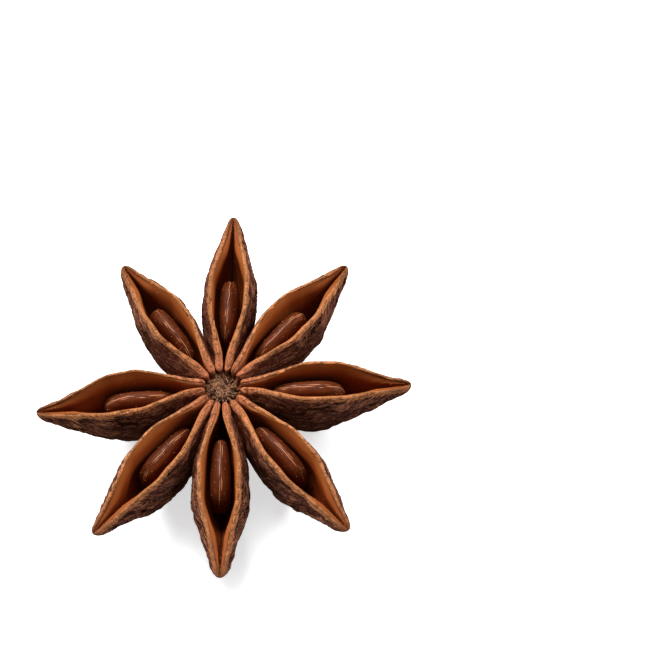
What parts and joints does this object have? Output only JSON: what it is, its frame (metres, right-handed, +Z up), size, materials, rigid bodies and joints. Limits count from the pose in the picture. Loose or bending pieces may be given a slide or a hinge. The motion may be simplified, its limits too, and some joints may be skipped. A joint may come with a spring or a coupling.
{
  "type": "star anise pod",
  "caption": "Dried star anise pod: boat-shaped open carpels fused round a short column, with a glossy seed lying in each.",
  "frame": {"origin": "under the middle of the pod's box, on the surface that the keels rest on", "axes": "+Z up through the open side, +X and +Y across the star, along a carpel each within a few degrees"},
  "size_m": [0.0346, 0.0376, 0.0085],
  "materials": {
    "husk": "dry, rough and wrinkled outside, satin inside",
    "seed": "glossy"
  },
  "bodies": {
    "root": {"pod": "husk", "seed_1": "seed", "seed_2": "seed", "seed_3": "seed", "seed_4": "seed", "seed_5": "seed", "seed_6": "seed", "seed_7": "seed", "seed_8": "seed"}
  },
  "joints": []
}
